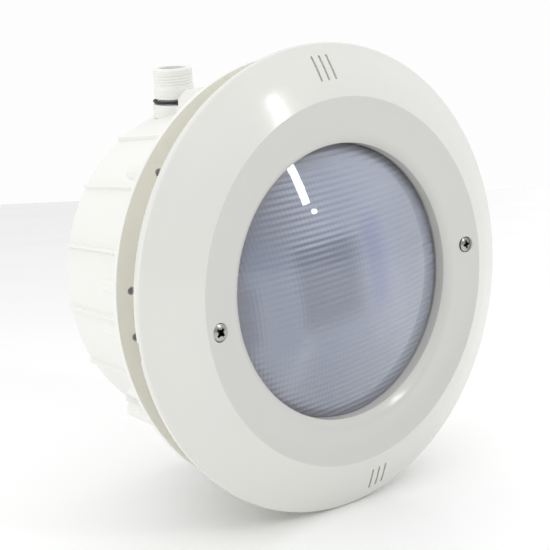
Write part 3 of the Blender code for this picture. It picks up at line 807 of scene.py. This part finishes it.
def build_cover():
    outer = [(0, -110), (49, -110, 2.0), (52, -107, 2.0), (62, -84, 6.0), (76, -50, 6.0), (86, -22, 4.0),
             (90.5, -12, 2.0), (93.6, -8, 0.6), (COVER_RADIUS, -8, 0.4), (COVER_RADIUS, -4, 0.4)]
    inner = [(91.6, -4), (91.6, -8.0), (86.4, -8.0), (86, -12), (83, -22), (73, -49), (59, -83), (49.5, -104.5),
             (47, -107), (0, -107)]
    cover = lathe("cover_shell", rounded([(c[0], forward(c[1]), *c[2:]) for c in outer + inner]), 144)
    place = upright(GLAND.x, GLAND.y)
    low, high = forward(-12), forward(0)
    hollow = rounded([(0, forward(-106.9)), (47, forward(-106.9)), (49.3, forward(-104.5)), (58.8, forward(-83)),
                      (72.8, forward(-49)), (0, forward(-49))])
    screw_holes = joined("screw_holes", [lathe("hole", rod(2.1, low, high), 20,
                                               on_circle(COVER_SCREW_CIRCLE, degrees))
                                         for degrees in COVER_SCREW_ANGLES])
    face_holes = joined("face_holes", [lathe("hole", rod(3.35, low, high), 24, on_circle(SCREW_CIRCLE, degrees))
                                       for _, degrees in SCREW_SIDES])
    gland_boss = lathe("gland_boss", rounded([(0, 50.5), (12, 50.5), (12, 66, 0.8), (0, 66)]), SMALL, place)
    carve(cover, [("UNION", gland_boss), ("DIFFERENCE", lathe("hollow", hollow, 96)),
                  ("DIFFERENCE", lathe("gland_hole", rod(7.6, 40, 70), 36, place)),
                  ("DIFFERENCE", screw_holes), ("DIFFERENCE", face_holes)])
    dress(cover, "lamp_unit", NICHE_PLASTIC, ("rear_cover",))
    for k, degrees in enumerate(COVER_SCREW_ANGLES):
        build_cover_screw(f"cover_screw_{k + 1}", on_circle(COVER_SCREW_CIRCLE, degrees))


def build_cover_screw(node, place):
    """Pan-head screw with a cut thread and a cross recess at its rear end."""
    back = extent(node)[0].y
    tip = extent(node)[1].y
    pitch = 1.1
    shank = [(1.5, depth) for depth in np.arange(back + 2.8, tip - 1.4, pitch / 6)]
    outline = rounded([(0, back), (2.2, back, 0.8), (3.6, back + 1.1, 0.5), (3.6, back + 2.6, 0.2),
                       (1.5, back + 2.6), *shank, (1.3, tip - 1.2), (0, tip)])

    def cut_thread(radius, height, turn):
        phase = (height / pitch - turn / (2 * math.pi)) % 1.0
        groove = np.clip(np.abs(phase - 0.5) / 0.3, 0, 1)
        return radius - np.where((np.abs(radius - 1.5) < 0.05) & (height > back + 2.7), groove * 0.35, 0)

    screw = lathe(f"{node}_steel", outline, 32, place, shape=cut_thread)
    recess = cross_recess("recess", place @ Matrix.Rotation(math.pi, 4, "X"), 3.4, 0.9, -back - 1.5, -back + 1.0)
    carve(screw, [("DIFFERENCE", recess)])
    dress(screw, "lamp_unit", STEEL, (node,), sharp=40)


def build_gland():
    place = upright(GLAND.x, GLAND.y)
    low, high = extent("gland_nut")
    apothem = 10.5 * math.cos(math.pi / 6)
    grips = rounded([(7.6, low.z), (10.5, low.z, 0.6), (10.5, low.z + 10.4, 0.8), (8.0, high.z, 1.2),
                     (5.4, high.z, 0.3), (5.4, high.z - 1.8), (7.6, high.z - 1.8)])

    def ribbed(radius, height, turn):
        return radius - np.where(radius > 9.9, 0.22 * (1 + np.cos(turn * 18)), 0)

    dress(lathe("gland_cap", grips, 144, place, shape=ribbed), "lamp_unit", NICHE_PLASTIC,
          ("gland_nut",))

    def hexagonal(radius, height, turn):
        sector = (turn + math.pi / 6) % (math.pi / 3) - math.pi / 6
        return np.where(radius > 8.0, np.minimum(radius, apothem / np.cos(sector - math.pi / 6 * np.sign(sector))),
                        radius)

    body_low, body_high = extent("gland_body")
    body = rounded([(5.0, body_low.z, 0.2), (7.3, body_low.z, 0.3), (7.3, 66.3), (10.5, 66.3, 0.3),
                    (10.5, 71.3, 0.3), (7.3, 71.3), (7.3, body_high.z, 0.3), (5.0, body_high.z, 0.2)])
    dress(lathe("gland_core", body, 144, place, shape=hexagonal), "lamp_unit", NICHE_PLASTIC,
          ("gland_body",))
    seal_low, seal_high = extent("gland_seal")
    dress(lathe("gland_washer", tube(7.2, 4.6, seal_low.z, seal_high.z, 0.4), 64, place), "lamp_unit",
          RUBBER, ("gland_seal",))


# Face screws -------------------------------------------------------------------------------------------------

def build_face_screws():
    pitch = 1.0
    thread_low, thread_high = SCREW_TIP + 1.2, SCREW_TIP + 24.0
    threads = [(2.75, depth) for depth in np.arange(thread_low, thread_high, pitch / 6)]
    head = [(2.75, forward(9.8)), (HEAD_SEEN, forward(12.6), 0.15), (HEAD_SEEN, forward(13.6), 0.2),
            *bowed((HEAD_SEEN - 0.2, forward(13.8)), (0, HEAD_FRONT - 0.2), -0.3, 10), (0, HEAD_FRONT - 0.2)]
    outline = rounded([(0, SCREW_TIP), (2.0, SCREW_TIP, 0.2), *threads, (2.75, thread_high), *head])

    def cut_thread(radius, height, turn):
        phase = (height / pitch - turn / (2 * math.pi)) % 1.0
        groove = np.clip(1.0 - np.abs(phase - 0.5) / 0.45, 0, 1)
        cut = (height > thread_low) & (height < thread_high) & (radius > 2.5)
        return radius - np.where(cut, groove * 0.45, 0)

    for (side, degrees), twist in zip(SCREW_SIDES, (40.0, 3.0)):
        place = on_circle(SCREW_CIRCLE, degrees)
        screw = lathe(f"oval_head_screw_{side}", outline, 64, place, shape=cut_thread)
        turned = place @ Matrix.Rotation(math.radians(twist), 4, "Z")
        recess = cross_recess("recess", turned, 5.9, 1.7, forward(11.8), forward(16))
        core = lathe("core", rounded([(0, forward(12.2)), (0.9, forward(12.2)), (2.3, forward(16)),
                                      (0, forward(16))]), 16, place)
        carve(screw, [("DIFFERENCE", recess), ("DIFFERENCE", core)])
        dress(screw, f"screw_{side}", HEAD_STEEL, (f"face_screw_{side}",), sharp=40)
        low, high = extent(f"screw_clip_{side}")
        clip = lathe(f"nylon_clip_{side}", tube(4.6, 3.05, low.y, high.y, 0.3), SMALL, place)
        dress(clip, f"clip_{side}", NYLON, (f"screw_clip_{side}",))


def finish_cad_nodes():
    """The sealed inner pieces keep their own meshes and get the finish of their slot."""
    finishes = {"reflector": MIRROR, "nickel_wire": NICKEL, "brass": BRASS, "stainless_steel": STEEL}
    for part in frame["record"]["subparts"]:
        node = frame["nodes"][part["node"]]
        if node.hide_render:
            continue
        node.data.materials.clear()
        node.data.materials.append(finishes[part["material_slot"]])
        node.data.shade_smooth()
        node.data.set_sharp_from_angle(angle=math.radians(35))


# Stage, light and camera --------------------------------------------------------------------------------------

def build_stage():
    bm = bmesh.new()
    bmesh.ops.create_circle(bm, cap_ends=True, radius=4.0, segments=64)
    floor = new_piece("floor", bm)
    tilt = math.radians(FLOOR_TILT)
    floor.rotation_euler = (0, tilt, 0)
    floor.location = Vector((math.sin(tilt), 0, math.cos(tilt))) * -(RING_RADIUS + 0.3) * MM
    finish = Finish("studio_floor", (0.97, 0.97, 0.97), 0.25, IOR=1.45)
    finish.set("Roughness", finish.noise(3.0, 2.0) * 0.06 + 0.2)
    floor.data.materials.append(finish.material)


def build_world():
    """White all round for the camera. The light it gives is dimmer from the front and from low down."""
    world = bpy.data.worlds.new("studio")
    bpy.context.scene.world = world
    world.use_nodes = True
    tree = world.node_tree
    tree.nodes.clear()
    coordinates = tree.nodes.new("ShaderNodeTexCoord")
    split = tree.nodes.new("ShaderNodeSeparateXYZ")
    tree.links.new(coordinates.outputs["Generated"], split.inputs[0])
    x, y, z = [Wire(tree, split.outputs[k]) for k in range(3)]
    strength = (z.step(0.0, 0.9) * 0.98 + y.step(-0.2, 1.0) * 0.3
                + (x * x).step(0.2, 1.0) * (x.step(0.5, -0.5) * 0.45 + 0.75) + 0.42)
    light = tree.nodes.new("ShaderNodeBackground")
    tree.links.new(strength.socket, light.inputs["Strength"])
    seen = tree.nodes.new("ShaderNodeBackground")
    seen.inputs["Color"].default_value = (0.985, 0.985, 0.985, 1)
    path = tree.nodes.new("ShaderNodeLightPath")
    mix = tree.nodes.new("ShaderNodeMixShader")
    tree.links.new(path.outputs["Is Camera Ray"], mix.inputs[0])
    tree.links.new(light.outputs[0], mix.inputs[1])
    tree.links.new(seen.outputs[0], mix.inputs[2])
    output = tree.nodes.new("ShaderNodeOutputWorld")
    tree.links.new(mix.outputs[0], output.inputs[0])


def towards(azimuth, elevation):
    """Unit vector that leaves the light's face, turned by an azimuth from -Y to +X and raised by an elevation."""
    turn, lift = math.radians(azimuth), math.radians(elevation)
    return Vector((math.sin(turn) * math.cos(lift), -math.cos(turn) * math.cos(lift), math.sin(lift)))


def area_light(name, azimuth, elevation, distance, size, power, roll=0.0):
    """A rectangular lamp that faces the middle of the lens."""
    lamp = bpy.data.lights.new(name, "AREA")
    lamp.shape = "RECTANGLE"
    lamp.size, lamp.size_y = size
    lamp.energy = power
    holder = bpy.data.objects.new(name, lamp)
    target = Vector((0, -forward(0) * MM, 0))
    direction = towards(azimuth, elevation)
    holder.location = target + direction * distance
    holder.rotation_mode = "QUATERNION"
    holder.rotation_quaternion = (direction.to_track_quat("Z", "Y")
                                  @ Quaternion((0, 0, 1), math.radians(roll)))
    bpy.context.scene.collection.objects.link(holder)


def build_lights():
    area_light("streak_lamp", 27, 26, 1.6, (0.08, 0.76), 3.6)
    area_light("dot_lamp", 29, 10, 1.6, (0.05, 0.04), 0.14)
    area_light("left_fill", -110, 15, 1.8, (1.2, 1.4), 2.4)


def build_camera():
    camera = bpy.data.cameras.new("camera")
    camera.lens = 56.2
    camera.sensor_width = 36.0
    holder = bpy.data.objects.new("camera", camera)
    rim = Vector((0, -forward(0) * MM, 0))
    holder.location = rim + towards(CAMERA_AZIMUTH, CAMERA_ELEVATION) * CAMERA_DISTANCE
    look = (Vector(CAMERA_AIM) - holder.location).to_track_quat("-Z", "Y")
    holder.rotation_mode = "QUATERNION"
    holder.rotation_quaternion = look @ Quaternion((0, 0, 1), math.radians(CAMERA_ROLL))
    bpy.context.scene.collection.objects.link(holder)
    bpy.context.scene.camera = holder
    bpy.context.scene.view_settings.view_transform = "Standard"


build_camera()
build_niche()
build_spigot()
build_inserts()
build_ring()
build_lens()
build_gasket()
build_filament()
build_cover()
build_gland()
build_face_screws()
finish_cad_nodes()
build_stage()
build_world()
build_lights()
